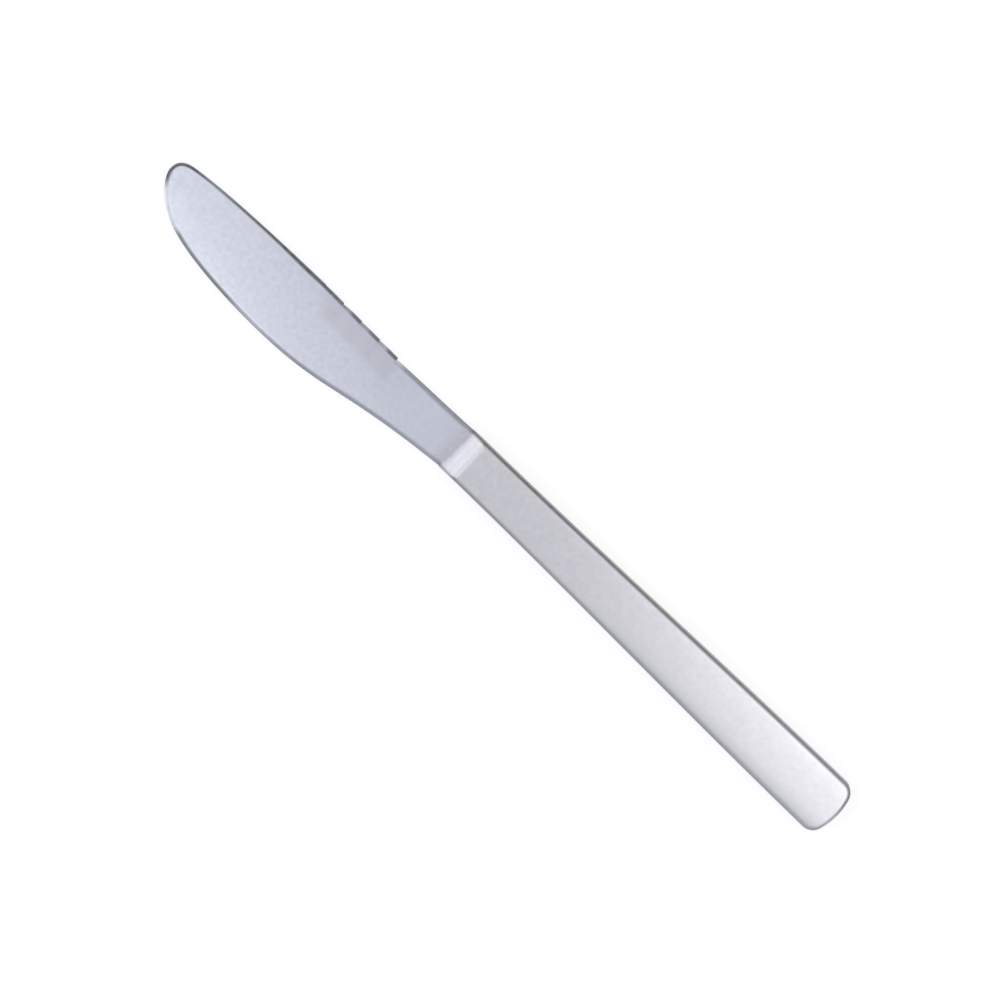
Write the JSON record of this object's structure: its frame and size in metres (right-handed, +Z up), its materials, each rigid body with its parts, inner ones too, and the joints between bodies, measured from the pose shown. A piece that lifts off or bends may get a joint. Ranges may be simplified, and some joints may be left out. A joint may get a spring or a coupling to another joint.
{
  "type": "table knife",
  "caption": "Table knife with a rounded, toothed steel blade and a slim flat hollow handle with rolled edges, lying on its side.",
  "frame": {"origin": "on the surface that the knife lies on, below the middle of its outline", "axes": "+X along the knife towards the blade's tip, +Y towards the blade's rounded spine side with the cutting edge towards -Y, +Z up, out of the handle's upper flat face"},
  "size_m": [0.22, 0.0202, 0.0056],
  "materials": {
    "blade_steel": "satin, brushed along the blade",
    "handle_steel": "satin, brushed along the handle",
    "braze": "dull, dressed flush",
    "cement": "matt, granular"
  },
  "bodies": {
    "root": {"blade": "blade_steel", "handle_shell_upper": "handle_steel", "handle_shell_lower": "handle_steel", "seam_braze": "braze", "neck_braze": "braze", "handle_cement": "cement"}
  },
  "joints": []
}
